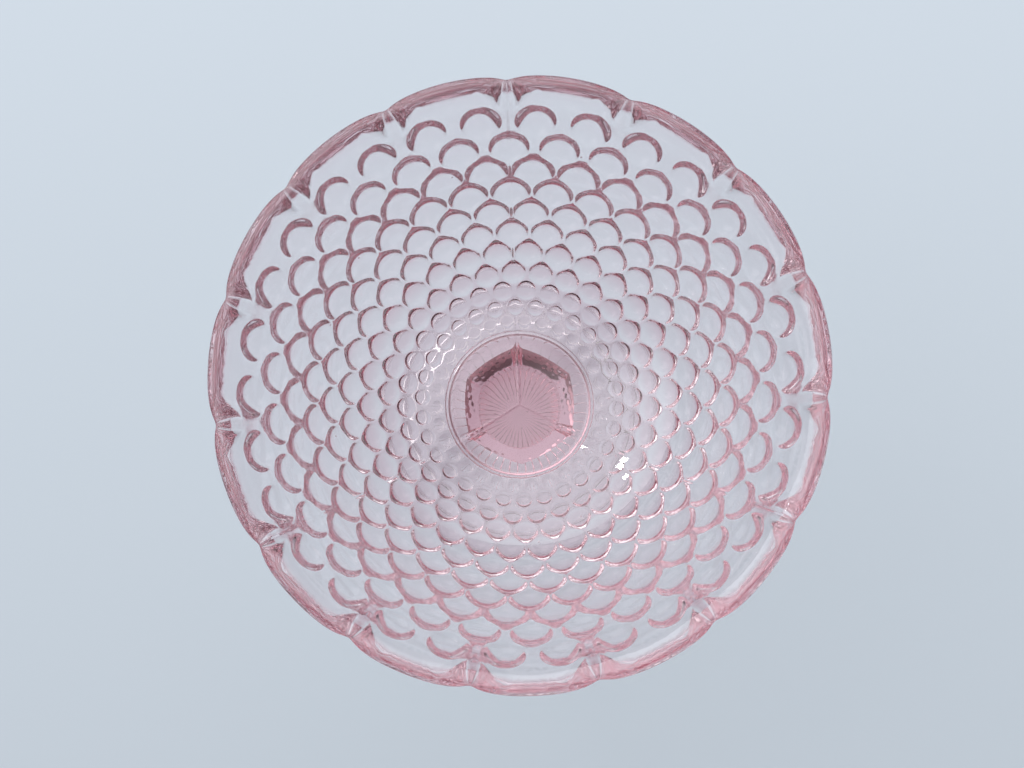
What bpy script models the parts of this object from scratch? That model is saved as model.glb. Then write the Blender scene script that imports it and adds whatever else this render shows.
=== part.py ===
"""Footed candy dish of pale pink pressed glass.

Four gathers of glass that are pressed apart and stuck together hot: a bowl whose outside is covered
with rows of round bumps under a rim of petals, a joining wafer, a six-panel stem, and a round foot
with rays pressed into its underside. Metres, +Z up. The origin lies on the table at the dish's axis,
and one of the three mould seams faces +Y.
"""
import math

import bmesh
import bpy
from mathutils import Vector

# Whole dish
HEIGHT = 0.116
RIM_RADIUS = 0.0825
SEAM_ANGLE = math.radians(90)
JOINT_GAP = 0.0003

# Bowl: the outer wall is one curve from the collar to the rim, given by its end slopes and its pulls
BOWL_DEPTH = 0.0655
COLLAR_RADIUS = 0.0233
COLLAR_DROP = 0.0012
COLLAR_TAPER = 0.0006
COLLAR_SLOPE = math.radians(26)
COLLAR_PULL = 0.0472
RIM_SLOPE = math.radians(53.8)
RIM_PULL = 0.057
RIM_WALL = 0.0060
RIM_CROWN = 0.45
RIM_BLEND = 1.6
BASE_WALL = 0.0052
FLOOR_DIP = 0.0033

# Bowl: petals that roll in towards the rim, with valleys between them
PETALS = 15
PETAL_FOOT_BELOW_RIM = 0.0105
PETAL_SWELL = 0.0014
PETAL_CREST = 0.25
PETAL_ROLL = 0.0028
PETAL_REACH_LOW = 0.82
PETAL_REACH_RIM = 0.92
PETAL_FLATNESS = 4.0
PETAL_FILLET = 0.10
PETAL_CROWDING = 0.55
VALLEY_DEPTH = 0.0028
VALLEY_LENGTH = 0.024
LOBE_RISE = 0.0011

# Bowl: bumps in staggered rows, their shares of the pitch, steepness and flatness from the lowest row up
BUMPS_PER_ROW = 2 * PETALS
BUMP_SHARES = (0.37, 0.375, 0.41, 0.44, 0.46, 0.46, 0.46, 0.46, 0.45, 0.395, 0.365)
BUMP_STEEPNESS = (0.75, 0.80, 0.85, 0.95, 0.95, 0.95, 0.95, 1.00, 1.00, 0.90, 0.85)
BUMP_FLATNESS = (3.2, 3.2, 2.8, 2.4, 2.3, 2.3, 2.5, 3.0, 3.4, 3.2, 2.6)
BUMP_ROWS = len(BUMP_SHARES)
BUMP_FILLET = 0.10
BUMP_SHOULDER = 0.75
ROW_TAPER = 2.14
TOP_ROW_BELOW_RIM = 0.0150
LAST_ROW_ABOVE_COLLAR = 0.0022
TOP_CREASE_SHARE = 0.85

# Bowl: the wall swells between the bumps, and steps back to a thinner wall below the petals
WEB_SWELL = 0.0015
WEB_LOW_SHARE = 0.5
WEB_FULL_ROW = 1
WEB_STEP_ROW = 7
WEB_STEP_SHARE = 0.7

# Wafer
WAFER_RADIUS = 0.0226
WAFER_ROUNDING = 0.0012
WAFER_THICKNESS = 0.0045

# Stem
STEM_TOP_RADIUS = 0.0191
STEM_WAIST_RADIUS = 0.0131
STEM_BASE_RADIUS = 0.0172
STEM_SWEEP_SHARE = 0.48
STEM_FLARE_HEIGHT = 0.0057
STEM_TOP_ROUNDING = 0.4
STEM_WAIST_ROUNDING = 0.85
STEM_CHAMFER = 0.0006
PANELS = 6

# Foot
FOOT_RADIUS = 0.042
FOOT_HEIGHT = 0.0127
FOOT_EDGE = 0.0042
FOOT_BOSS_MARGIN = 0.0008
FOOT_SWEEP = 1.7
REST_WIDTH = 0.0036
REST_INSET = 0.0014
RECESS = 0.0022
RECESS_SLANT = 0.0010
RAYS = 42
RAY_DEPTH = 0.0006
RAY_RISE = 0.042
RAY_MARGIN = 0.0026
RAY_START = 0.0050
STAR_HUB = 0.0035

# Fineness of the mesh
COLUMNS = 2 * BUMPS_PER_ROW
FINE_COLUMNS = 2 * COLUMNS
CURVE_STEPS = 240
HALVINGS = 40
INNER_STEPS = 9
FLOOR_STEPS = 3
RIM_STEPS = 5
PETAL_LEVELS = (0.3, 0.55, 0.8, 1.0)
STEM_COLUMNS = 6 * PANELS
SWEEP_STEPS = 6
FLARE_STEPS = 4
WAFER_COLUMNS = 48
WAFER_STEPS = 3
FOOT_STEPS = 5

# Edges that turn by more than this are shown sharp
PIECE_CREASE = math.radians(35)
BOWL_CREASE = math.radians(75)

GLASS_PINK = (0.90, 0.66, 0.70, 1.0)
GLASS_ROUGHNESS = 0.03
GLASS_INDEX = 1.52

# Heights of the stack, from the bowl down to the foot
COLLAR_TOP = HEIGHT - BOWL_DEPTH
BOWL_BOTTOM = COLLAR_TOP - COLLAR_DROP
WAFER_TOP = BOWL_BOTTOM - JOINT_GAP
WAFER_BOTTOM = WAFER_TOP - WAFER_THICKNESS
STEM_TOP = WAFER_BOTTOM - JOINT_GAP
STEM_BOTTOM = FOOT_HEIGHT + JOINT_GAP


def mix(a, b, share):
    return a + (b - a) * share


def ease(value):
    value = min(max(value, 0.0), 1.0)
    return value * value * (3 - 2 * value)


def bezier(start, start_pull, end_pull, end, t):
    curve = (1 - t) ** 3 * start + 3 * (1 - t) ** 2 * t * start_pull
    return curve + 3 * (1 - t) * t ** 2 * end_pull + t ** 3 * end


def pressed_dome(reach, flatness, fillet):
    """Section of a pressed relief: flat in the middle, steepest at reach 1, with a fillet at its foot."""
    if reach < 1:
        return (1 - reach ** flatness) / flatness + fillet / 2
    return max(1 + fillet - reach, 0.0) ** 2 / (2 * fillet)


def direction(slope):
    return Vector((math.cos(slope), math.sin(slope)))


def around(radius, height, angle):
    return Vector((radius * math.cos(angle), radius * math.sin(angle), height))


def circle(bm, radius, height, count):
    """One ring of vertices about the axis, starting on the seam."""
    step = 2 * math.pi / count
    return [bm.verts.new(around(radius, height, SEAM_ANGLE + i * step)) for i in range(count)]


def join_rings(bm, first, second):
    """Faces between two rings, where one may have twice as many vertices as the other."""
    if len(first) == len(second):
        for i in range(len(first)):
            j = (i + 1) % len(first)
            bm.faces.new((first[i], first[j], second[j], second[i]))
        return
    finer_is_second = len(second) > len(first)
    coarse, fine = (first, second) if finer_is_second else (second, first)
    for i in range(len(coarse)):
        j = (i + 1) % len(coarse)
        near, middle, far = fine[2 * i], fine[2 * i + 1], fine[(2 * i + 2) % len(fine)]
        for face in ((coarse[i], middle, near), (coarse[i], coarse[j], middle), (coarse[j], far, middle)):
            bm.faces.new(face if finer_is_second else face[::-1])


def join_chain(bm, rings):
    for first, second in zip(rings, rings[1:]):
        join_rings(bm, first, second)


def close_bottom(bm, ring):
    bm.faces.new(ring[::-1])


def close_top(bm, ring):
    bm.faces.new(ring)


def glass(name):
    material = bpy.data.materials.new(name)
    material.use_nodes = True
    shader = material.node_tree.nodes["Principled BSDF"]
    shader.inputs["Base Color"].default_value = GLASS_PINK
    shader.inputs["Roughness"].default_value = GLASS_ROUGHNESS
    shader.inputs["Metallic"].default_value = 0.0
    shader.inputs["IOR"].default_value = GLASS_INDEX
    shader.inputs["Transmission Weight"].default_value = 1.0
    material.diffuse_color = GLASS_PINK
    return material


def finish_piece(name, bm, crease=PIECE_CREASE):
    """Turn a finished mesh into a named, smooth-shaded object with its own glass."""
    mesh = bpy.data.meshes.new(name)
    bm.to_mesh(mesh)
    bm.free()
    mesh.shade_smooth()
    mesh.set_sharp_from_angle(angle=crease)
    mesh.materials.append(glass(name + "_glass"))
    piece = bpy.data.objects.new(name, mesh)
    bpy.context.scene.collection.objects.link(piece)
    return piece


def rim_section(outer, steep, inner, share):
    """A point of the rounded rim, which runs from the outer wall over to the inner one."""
    pull = RIM_CROWN * (outer - inner).length
    return bezier(outer, outer + pull * steep, inner + pull * direction(RIM_SLOPE), inner, share)


class WallCurve:
    """The bowl's outer wall in section, read by the length along it from the collar."""

    def __init__(self):
        lean = direction(RIM_SLOPE)
        outward = Vector((lean.y, -lean.x))
        outer = (PETAL_SWELL - PETAL_ROLL) * outward
        inner = -RIM_WALL * outward
        inner += (outer - inner).y / lean.y * lean
        roll = math.atan(2 * PETAL_ROLL / ((1 - PETAL_CREST) * PETAL_FOOT_BELOW_RIM))
        steep = direction(RIM_SLOPE + roll)
        crown = [rim_section(outer, steep, inner, i / CURVE_STEPS) for i in range(CURVE_STEPS)]
        end = Vector((RIM_RADIUS, HEIGHT))
        end -= Vector((max(point.x for point in crown), max(point.y for point in crown)))
        start = Vector((COLLAR_RADIUS, COLLAR_TOP))
        start_pull = start + COLLAR_PULL * direction(COLLAR_SLOPE)
        end_pull = end - RIM_PULL * lean
        shares = [i / CURVE_STEPS for i in range(CURVE_STEPS + 1)]
        self.points = [bezier(start, start_pull, end_pull, end, share) for share in shares]
        self.lengths = [0.0]
        for a, b in zip(self.points, self.points[1:]):
            self.lengths.append(self.lengths[-1] + (b - a).length)
        self.length = self.lengths[-1]

    def at(self, distance):
        """Point on the wall, and the outward direction there, as radius and height."""
        distance = min(max(distance, 0.0), self.length)
        i = 1
        while self.lengths[i] < distance and i < CURVE_STEPS:
            i += 1
        a, b = self.points[i - 1], self.points[i]
        share = (distance - self.lengths[i - 1]) / (self.lengths[i] - self.lengths[i - 1])
        along = (b - a).normalized()
        return a.lerp(b, share), Vector((along.y, -along.x))

    def section(self, distance, out):
        point, outward = self.at(distance)
        return point + outward * out

    def surface(self, distance, angle, out):
        section = self.section(distance, out)
        return around(section.x, section.y, angle)

    def inside(self, distance):
        return self.section(distance, -mix(BASE_WALL, RIM_WALL, distance / self.length))

    def inside_at_height(self, height):
        """The point of the inner wall at a height."""
        low, high = 0.0, self.length
        for _ in range(HALVINGS):
            middle = (low + high) / 2
            if self.inside(middle).y < height:
                low = middle
            else:
                high = middle
        return self.inside(low)


def across_petal(angle):
    """Place across a petal: 0 at its crest, 1 at the notch on either side."""
    turn = (angle - SEAM_ANGLE) * PETALS / (2 * math.pi)
    return abs(2 * (turn - math.floor(turn)) - 1)


def column_angle(index, count):
    return SEAM_ANGLE + index * 2 * math.pi / count


def row_distances(wall):
    """Distances along the wall of the bump rows, from the lowest row up."""
    lowest = LAST_ROW_ABOVE_COLLAR
    highest = wall.length - TOP_ROW_BELOW_RIM
    gaps = [mix(1.0, ROW_TAPER, i / (BUMP_ROWS - 2)) for i in range(BUMP_ROWS - 1)]
    unit = (highest - lowest) / sum(gaps)
    rows = [lowest]
    for gap in gaps:
        rows.append(rows[-1] + gap * unit)
    return rows


def row_offset(row):
    """1 where a row's bumps sit half a pitch off the seam, as every second row's do from the top."""
    return (BUMP_ROWS - row) % 2


def crease_distances(rows):
    """Where the zigzag creases between the rows run: a low and a high distance for each crease."""
    below = rows[0] - LAST_ROW_ABOVE_COLLAR
    above = rows[-1] + TOP_ROW_BELOW_RIM * TOP_CREASE_SHARE
    edges = [below] + rows + [above]
    return [(mix(a, b, 1 / 3), mix(a, b, 2 / 3)) for a, b in zip(edges, edges[1:])]


def crease_at(creases, index, column):
    """Distance of one vertex of a crease: high over a bump of the row below, low between two."""
    low, high = creases[index]
    over_bump = column % 2 == row_offset(index - 1)
    return high if over_bump else low


def web_swell(rows, distance):
    """How far the wall between the bumps stands out of its curve."""
    top = mix(rows[WEB_STEP_ROW + 1], rows[WEB_STEP_ROW + 2], WEB_STEP_SHARE)
    rising = mix(WEB_LOW_SHARE, 1.0, ease(distance / rows[WEB_FULL_ROW]))
    return WEB_SWELL * min(rising, ease((top - distance) / (top - rows[WEB_STEP_ROW])))


def petal_relief(wall, angle, distance):
    """Pillowed petals that roll in towards the rim, and the valleys cut between them."""
    climb = 1 - (wall.length - distance) / PETAL_FOOT_BELOW_RIM
    past = max(climb - PETAL_CREST, 0.0) / (1 - PETAL_CREST)
    pillow = PETAL_SWELL * ease(climb / PETAL_CREST) - PETAL_ROLL * past ** 2
    valley = -VALLEY_DEPTH * ease(1 - (wall.length - distance) / VALLEY_LENGTH)
    reach = across_petal(angle) / mix(PETAL_REACH_LOW, PETAL_REACH_RIM, ease(climb))
    full = pressed_dome(0.0, PETAL_FLATNESS, PETAL_FILLET)
    return mix(valley, pillow, pressed_dome(reach, PETAL_FLATNESS, PETAL_FILLET) / full)


def press_bump(bm, wall, rows, row, corners):
    """One bump in its cell: a middle and a shoulder, joined to the corners of the crease round it."""
    vertices, turns, distances = zip(*corners)
    middle = sum(turns) / len(turns)
    size = BUMP_SHARES[row] * 2 * math.pi / BUMPS_PER_ROW * wall.at(rows[row])[0].x

    def place(angle, distance, reach):
        dome = BUMP_STEEPNESS[row] * size * pressed_dome(reach, BUMP_FLATNESS[row], BUMP_FILLET)
        out = dome + web_swell(rows, rows[row]) + petal_relief(wall, angle, distance)
        return bm.verts.new(wall.surface(distance, angle, out))

    shoulder = []
    for turn, distance in zip(turns, distances):
        across = (turn - middle) * wall.at(distance)[0].x
        share = BUMP_SHOULDER * size / math.hypot(across, distance - rows[row])
        shoulder.append(place(mix(middle, turn, share), mix(rows[row], distance, share), BUMP_SHOULDER))
    top = place(middle, rows[row], 0.0)
    for i in range(len(corners)):
        j = (i + 1) % len(corners)
        bm.faces.new((top, shoulder[i], shoulder[j]))
        bm.faces.new((shoulder[i], vertices[i], vertices[j], shoulder[j]))


def press_bumps(bm, wall, rows, creases):
    """The honeycomb of cells, each swollen into a round bump. Returns its lowest and highest crease."""
    zigzags = []
    for index in range(len(creases)):
        ring = []
        for column in range(COLUMNS):
            distance = crease_at(creases, index, column)
            angle = column_angle(column, COLUMNS)
            out = web_swell(rows, distance) + petal_relief(wall, angle, distance)
            ring.append(bm.verts.new(wall.surface(distance, angle, out)))
        zigzags.append(ring)
    for row in range(BUMP_ROWS):
        for bump in range(BUMPS_PER_ROW):
            centre = 2 * bump + row_offset(row)
            corners = []
            for index, columns in ((row, (-1, 0, 1)), (row + 1, (1, 0, -1))):
                for column in columns:
                    vertex = zigzags[index][(centre + column) % COLUMNS]
                    turn = column_angle(centre + column, COLUMNS)
                    corners.append((vertex, turn, crease_at(creases, index, centre + column)))
            press_bump(bm, wall, rows, row, corners)
    return zigzags[0], zigzags[-1]


def rim_edge(wall, angle):
    """Distance along the wall to the rim: the lobes stand higher than the notches."""
    return wall.length - LOBE_RISE * across_petal(angle) ** 2


def petal_columns(crowding):
    """Angles of the fine columns, drawn towards the valleys as crowding goes from 0 to 1."""
    angles = []
    for column in range(FINE_COLUMNS):
        angle = column_angle(column, FINE_COLUMNS)
        share = across_petal(angle)
        pitch = 2 * math.pi / PETALS
        side = 1 if (angle - SEAM_ANGLE) % pitch > pitch / 2 else -1
        angles.append(angle + side * crowding * PETAL_CROWDING * share * (1 - share) * pitch / 2)
    return angles


def petal_ring(bm, wall, creases, level):
    """One ring across the petals, at a share of the way from the top bumps to the rim."""
    ring = []
    for column, angle in enumerate(petal_columns(level)):
        here = crease_at(creases, BUMP_ROWS, column // 2)
        beyond = crease_at(creases, BUMP_ROWS, (column + 1) // 2 % COLUMNS)
        distance = mix((here + beyond) / 2, rim_edge(wall, angle), level)
        ring.append(bm.verts.new(wall.surface(distance, angle, petal_relief(wall, angle, distance))))
    return ring


def rim_ring(bm, wall, share):
    """One ring of the rounded rim, at a share of the way from the outer wall to the inner one."""
    ring = []
    for angle in petal_columns(1.0):
        edge = rim_edge(wall, angle)
        outer = wall.section(edge, petal_relief(wall, angle, edge))
        below = edge - RIM_WALL / CURVE_STEPS
        steep = (outer - wall.section(below, petal_relief(wall, angle, below))).normalized()
        section = rim_section(outer, steep, wall.inside_at_height(outer.y), share)
        ring.append(bm.verts.new(around(section.x, section.y, angle)))
    return ring


def floor_height(wall, radius):
    """The bowl's floor, level at the axis and meeting the inner wall at the wall's own slope."""
    start = wall.inside(0.0)
    slope = math.tan(COLLAR_SLOPE)
    cubic = (slope * start.x - 2 * FLOOR_DIP) / start.x ** 3
    square = FLOOR_DIP / start.x ** 2 - cubic * start.x
    return start.y - FLOOR_DIP + square * radius ** 2 + cubic * radius ** 3


def make_bowl():
    wall = WallCurve()
    bm = bmesh.new()
    rows = row_distances(wall)
    creases = crease_distances(rows)
    lowest, highest = press_bumps(bm, wall, rows, creases)

    foot = wall.section(0.0, web_swell(rows, 0.0))
    bottom = circle(bm, COLLAR_RADIUS - COLLAR_TAPER, BOWL_BOTTOM, COLUMNS)
    collar = circle(bm, foot.x, foot.y, COLUMNS)
    close_bottom(bm, bottom)
    join_chain(bm, [bottom, collar, lowest])

    rings = [highest]
    rings += [petal_ring(bm, wall, creases, level) for level in PETAL_LEVELS]
    rings += [rim_ring(bm, wall, i / RIM_STEPS) for i in range(1, RIM_STEPS + 1)]
    inner_top = wall.length - RIM_BLEND * RIM_WALL
    for i in range(INNER_STEPS + 1):
        section = wall.inside(mix(inner_top, 0.0, i / INNER_STEPS))
        rings.append(circle(bm, section.x, section.y, COLUMNS))
    inner_radius = wall.inside(0.0).x
    for i in range(1, FLOOR_STEPS):
        radius = mix(inner_radius, 0.0, i / FLOOR_STEPS)
        rings.append(circle(bm, radius, floor_height(wall, radius), COLUMNS))
    join_chain(bm, rings)
    close_top(bm, rings[-1])
    return finish_piece("bowl", bm, BOWL_CREASE)


def make_wafer():
    """A flattened bead of glass with a rounded edge that joins the bowl to the stem."""
    bm = bmesh.new()
    flat = WAFER_RADIUS - WAFER_ROUNDING
    rings = []
    for middle, first in ((WAFER_BOTTOM + WAFER_ROUNDING, -math.pi / 2), (WAFER_TOP - WAFER_ROUNDING, 0.0)):
        for i in range(WAFER_STEPS + 1):
            turn = first + math.pi / 2 * i / WAFER_STEPS
            height = middle + WAFER_ROUNDING * math.sin(turn)
            rings.append(circle(bm, flat + WAFER_ROUNDING * math.cos(turn), height, WAFER_COLUMNS))
    close_bottom(bm, rings[0])
    join_chain(bm, rings)
    close_top(bm, rings[-1])
    return finish_piece("wafer", bm)


def stem_flare(height):
    """How far the stem has flared out, from 0 at the waist to 1 under the wafer."""
    return max(0.0, 1 - (STEM_TOP - height) / STEM_FLARE_HEIGHT)


def panel_share(angle, rounding):
    """Radius of the six-panel section in one direction, where 1 is a sharp corner on the seam."""
    side = 2 * math.pi / PANELS
    from_flat = (angle - SEAM_ANGLE) % side - side / 2
    flat = math.cos(side / 2)
    return mix(flat / math.cos(from_flat), (1 + flat) / 2, rounding)


def stem_radius(height):
    """Radius of the stem's corners: swept at the foot, straight at the waist, flared under the wafer."""
    sweep = max(0.0, 1 - (height - STEM_BOTTOM) / (STEM_SWEEP_SHARE * (STEM_TOP - STEM_BOTTOM)))
    swept = mix(STEM_WAIST_RADIUS, STEM_BASE_RADIUS, sweep ** 2)
    return swept + (STEM_TOP_RADIUS - STEM_WAIST_RADIUS) * stem_flare(height)


def stem_ring(bm, radius, height):
    rounding = mix(STEM_WAIST_ROUNDING, STEM_TOP_ROUNDING, stem_flare(height))
    ring = []
    for column in range(STEM_COLUMNS):
        angle = column_angle(column, STEM_COLUMNS)
        ring.append(bm.verts.new(around(radius * panel_share(angle, rounding), height, angle)))
    return ring


def make_stem():
    bm = bmesh.new()
    low = STEM_BOTTOM + STEM_CHAMFER
    high = STEM_TOP - STEM_CHAMFER
    waist = mix(STEM_BOTTOM, STEM_TOP, STEM_SWEEP_SHARE)
    heights = [mix(low, waist, i / SWEEP_STEPS) for i in range(SWEEP_STEPS + 1)]
    heights += [mix(STEM_TOP - STEM_FLARE_HEIGHT, high, i / FLARE_STEPS) for i in range(FLARE_STEPS + 1)]
    rings = [stem_ring(bm, STEM_BASE_RADIUS - STEM_CHAMFER, STEM_BOTTOM)]
    rings += [stem_ring(bm, stem_radius(height), height) for height in heights]
    rings.append(stem_ring(bm, STEM_TOP_RADIUS - STEM_CHAMFER, STEM_TOP))
    close_bottom(bm, rings[0])
    join_chain(bm, rings)
    close_top(bm, rings[-1])
    return finish_piece("stem", bm)


def ray_ring(bm, radius):
    """A ring across the rays: every second vertex hangs down, more so away from the middle."""
    ring = circle(bm, radius, RECESS, 2 * RAYS)
    for vertex in ring[::2]:
        vertex.co.z -= min(RAY_DEPTH, RAY_RISE * radius)
    return ring


def make_foot():
    bm = bmesh.new()
    rest_outer = FOOT_RADIUS - REST_INSET
    rest_inner = rest_outer - REST_WIDTH
    recess_radius = rest_inner - RECESS_SLANT
    ray_end = recess_radius - RAY_MARGIN
    boss_radius = STEM_BASE_RADIUS + FOOT_BOSS_MARGIN

    rings = [
        circle(bm, STAR_HUB, RECESS, 2 * RAYS),
        ray_ring(bm, RAY_START),
        ray_ring(bm, RAY_DEPTH / RAY_RISE),
        ray_ring(bm, ray_end),
        circle(bm, recess_radius, RECESS, 2 * RAYS),
        circle(bm, rest_inner, 0.0, RAYS),
        circle(bm, rest_outer, 0.0, RAYS),
    ]
    half_edge = FOOT_EDGE / 2
    for turn in (-math.pi / 4, 0.0, math.pi / 4):
        radius = FOOT_RADIUS - REST_INSET * (1 - math.cos(turn))
        rings.append(circle(bm, radius, half_edge * (1 + math.sin(turn)), RAYS))
    for i in range(FOOT_STEPS + 1):
        share = i / FOOT_STEPS
        height = mix(FOOT_EDGE, FOOT_HEIGHT, share ** FOOT_SWEEP)
        rings.append(circle(bm, mix(rest_outer, boss_radius, share), height, RAYS))
    close_bottom(bm, rings[0])
    join_chain(bm, rings)
    close_top(bm, rings[-1])
    return finish_piece("foot", bm)


def clear_scene():
    for item in list(bpy.data.objects):
        bpy.data.objects.remove(item, do_unlink=True)


def main():
    clear_scene()
    dish = bpy.data.objects.new("candy_dish", None)
    bpy.context.scene.collection.objects.link(dish)
    for piece in (make_foot(), make_stem(), make_wafer(), make_bowl()):
        piece.parent = dish


main()
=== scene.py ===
import math

import bpy
import numpy as np
from mathutils import Matrix, Vector


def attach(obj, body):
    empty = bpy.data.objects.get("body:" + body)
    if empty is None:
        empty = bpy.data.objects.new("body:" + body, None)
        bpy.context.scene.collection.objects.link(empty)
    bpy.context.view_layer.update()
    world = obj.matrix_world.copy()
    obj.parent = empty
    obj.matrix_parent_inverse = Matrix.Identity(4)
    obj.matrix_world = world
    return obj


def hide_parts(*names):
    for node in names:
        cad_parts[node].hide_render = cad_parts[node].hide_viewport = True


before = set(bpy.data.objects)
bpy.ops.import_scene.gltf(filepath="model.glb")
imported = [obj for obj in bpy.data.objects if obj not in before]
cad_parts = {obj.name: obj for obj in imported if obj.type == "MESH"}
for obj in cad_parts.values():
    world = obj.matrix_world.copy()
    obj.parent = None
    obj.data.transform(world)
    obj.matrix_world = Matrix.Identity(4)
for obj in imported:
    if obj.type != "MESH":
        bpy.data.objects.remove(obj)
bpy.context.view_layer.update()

# A footed candy dish of pink pressed glass: fine meshes and glass in the place of the part's four solids

# Sizes of the dish, metres
HEIGHT = 0.116
RIM_RADIUS = 0.0825
SEAMS = 3
SEAM_ANGLE = math.radians(90)

# Bowl wall, as a curve from the collar up to the rim
BOWL_DEPTH = 0.0655
COLLAR_RADIUS = 0.0233
COLLAR_DROP = 0.0012
COLLAR_ROUNDING = 0.0003
COLLAR_INSET = 2 * COLLAR_ROUNDING
COLLAR_SLOPE = math.radians(26)
COLLAR_PULL = 0.0472
RIM_SLOPE = math.radians(53.8)
RIM_PULL = 0.057
RIM_WALL = 0.0060
RIM_CROWN = 0.45
RIM_TANGENT = 0.0003
RIM_BLEND = 1.6
BASE_WALL = 0.0052
FLOOR_DIP = 0.0033

# Petals round the rim
PETALS = 15
PETAL_FOOT_BELOW_RIM = 0.0105
PETAL_SWELL = 0.0014
PETAL_CREST = 0.25
PETAL_ROLL = 0.0028
PETAL_REACH_LOW = 0.82
PETAL_REACH_RIM = 0.92
PETAL_FLATNESS = 4.0
PETAL_FILLET = 0.10
VALLEY_DEPTH = 0.0028
VALLEY_LENGTH = 0.024
PETAL_CROWDING = 0.55
TOP_CREASE_SHARE = 0.85
LOBE_RISE = 0.0011
LOBE_SOFTNESS = 0.65

# Rows of bumps, from the lowest row up
BUMPS_PER_ROW = 2 * PETALS
BUMP_ROWS = 11
ROW_TAPER = 2.14
TOP_ROW_BELOW_RIM = 0.0150
LAST_ROW_ABOVE_COLLAR = 0.0022
BUMP_SHARES = (0.37, 0.375, 0.41, 0.44, 0.46, 0.46, 0.46, 0.46, 0.45, 0.395, 0.365)
BUMP_STEEPNESS = (0.75, 0.80, 0.85, 0.95, 0.95, 0.95, 0.95, 1.00, 1.00, 0.90, 0.85)
BUMP_FLATNESS = (3.2, 3.2, 2.8, 2.4, 2.3, 2.3, 2.5, 3.0, 3.4, 3.2, 2.6)
BUMP_FILLET = 0.10
BUMP_TOP_BLEND = 0.4
BUMP_CELL_SHARE = 0.985
WEB_SWELL = 0.0015
WEB_FULL_ROW = 1
WEB_LOW_SHARE = 0.5
WEB_STEP_ROW = 7
WEB_STEP_SHARE = 0.7

# Wafer, stem and foot
WAFER_RADIUS = 0.0226
WAFER_ROUNDING = 0.0018
WAFER_THICKNESS = 0.0045
JOINT_GAP = 0.0003
JOINT_LAP = 0.00004
STEM_TOP_RADIUS = 0.0197
STEM_WAIST_RADIUS = 0.0140
STEM_BASE_RADIUS = 0.0172
STEM_SWEEP_SHARE = 0.48
STEM_FLARE_SLOPE = math.radians(50.5)
STEM_CREASE = math.radians(28)
STEM_TOP_ROUNDING = 0.4
STEM_WAIST_ROUNDING = 0.85
STEM_DENTS = 0.000016
STEM_DENTS_HEIGHT = 0.009
STEM_DENT_WAVES = ((23, 900, 0.0), (37, -2100, 1.3), (11, 3000, 0.4))
STEM_CHAMFER = 0.0006
PANELS = 6
FIN_HEIGHT = 0.0019
FIN_WIDTH = math.radians(2.6)
FIN_FOOT_SHARE = 0.25
FIN_CHAMFER_SHARES = (0.2, 0.9)
FOOT_RADIUS = 0.042
FOOT_HEIGHT = 0.0127
FOOT_EDGE = 0.0042
FOOT_BOSS_MARGIN = 0.0008
FOOT_SWEEP = 1.7
REST_WIDTH = 0.0036
REST_INSET = 0.0014
RECESS = 0.0022
RECESS_SLANT = 0.0010
RECESS_SECTION = ((0.2, 0.85), (0.7, 0.25), (1.0, 0.02))
RECESS_ROUNDING = 0.0004
RAYS = 42
RAY_DEPTH = 0.00018
RAY_RISE = 0.0096
RAY_COLUMNS = (0.0, 0.2, 0.38, 0.44, 0.5, 0.56, 0.62, 0.8)
RAY_PEAK = 0.5
RAY_CREASE = math.radians(25)
RAY_FADE = 0.6
RAY_MARGIN = 0.0026
RAY_START = 0.0036
STAR_HUB = 0.0026

# Gas bubbles left in the glass
BOWL_SEEDS = 12
BOWL_SEED_RANGE = (0.06, 0.9)
STEM_SEEDS = 9
STEM_SEED_RANGE = (0.1, 0.9)
STEM_SEED_REACH = 0.8
SEED_RADIUS = 0.00028
SEED_SIDES = 10
SEED_RINGS = 6
GOLDEN_TURN = 2.39996
GOLDEN_SHARE = 0.618034

# Fineness of the meshes
EDGE_PIECES = 5
COLUMNS = 2 * BUMPS_PER_ROW * EDGE_PIECES
FINE_COLUMNS = 2 * COLUMNS
INNER_COLUMNS = COLUMNS // 2
FINE_RINGS = (0.38, 0.58, 0.72, 0.84, 0.93, 1.0)
COARSE_RINGS = (0.45, 0.7, 0.88, 1.0)
FINE_ROWS_FROM = 5
COLLAR_STEPS = 3
PETAL_LEVELS = 9
RIM_STEPS = 11
CROWN_RINGS = (0.3, 0.65)
INNER_STEPS = 34
FLOOR_STEPS = 8
WAFER_COLUMNS = 180
WAFER_STEPS = 10
STEM_COLUMNS = 288
STEM_STEPS = 120
RAY_STEPS = 14
FOOT_EDGE_STEPS = 12
FOOT_TOP_STEPS = 24
CAP_SHARE = 0.5

# Heights of the stack; neighbouring pieces lap by a hair so that light crosses the joints
COLLAR_TOP = HEIGHT - BOWL_DEPTH
BOWL_BOTTOM = COLLAR_TOP - COLLAR_DROP
WAFER_TOP = BOWL_BOTTOM + JOINT_LAP
WAFER_BOTTOM = BOWL_BOTTOM - JOINT_GAP - WAFER_THICKNESS
STEM_TOP = WAFER_BOTTOM + JOINT_LAP
STEM_BOTTOM = FOOT_HEIGHT - JOINT_LAP

# Glass: its colour, and how strongly each piece absorbs
GLASS_INDEX = 1.52
TINT_COLOUR = (0.86, 0.14, 0.28, 1.0)
BOWL_TINT = 6.2
WAFER_TINT = 32.0
STEM_TINT = 18.0
FOOT_TINT = 5.0

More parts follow.
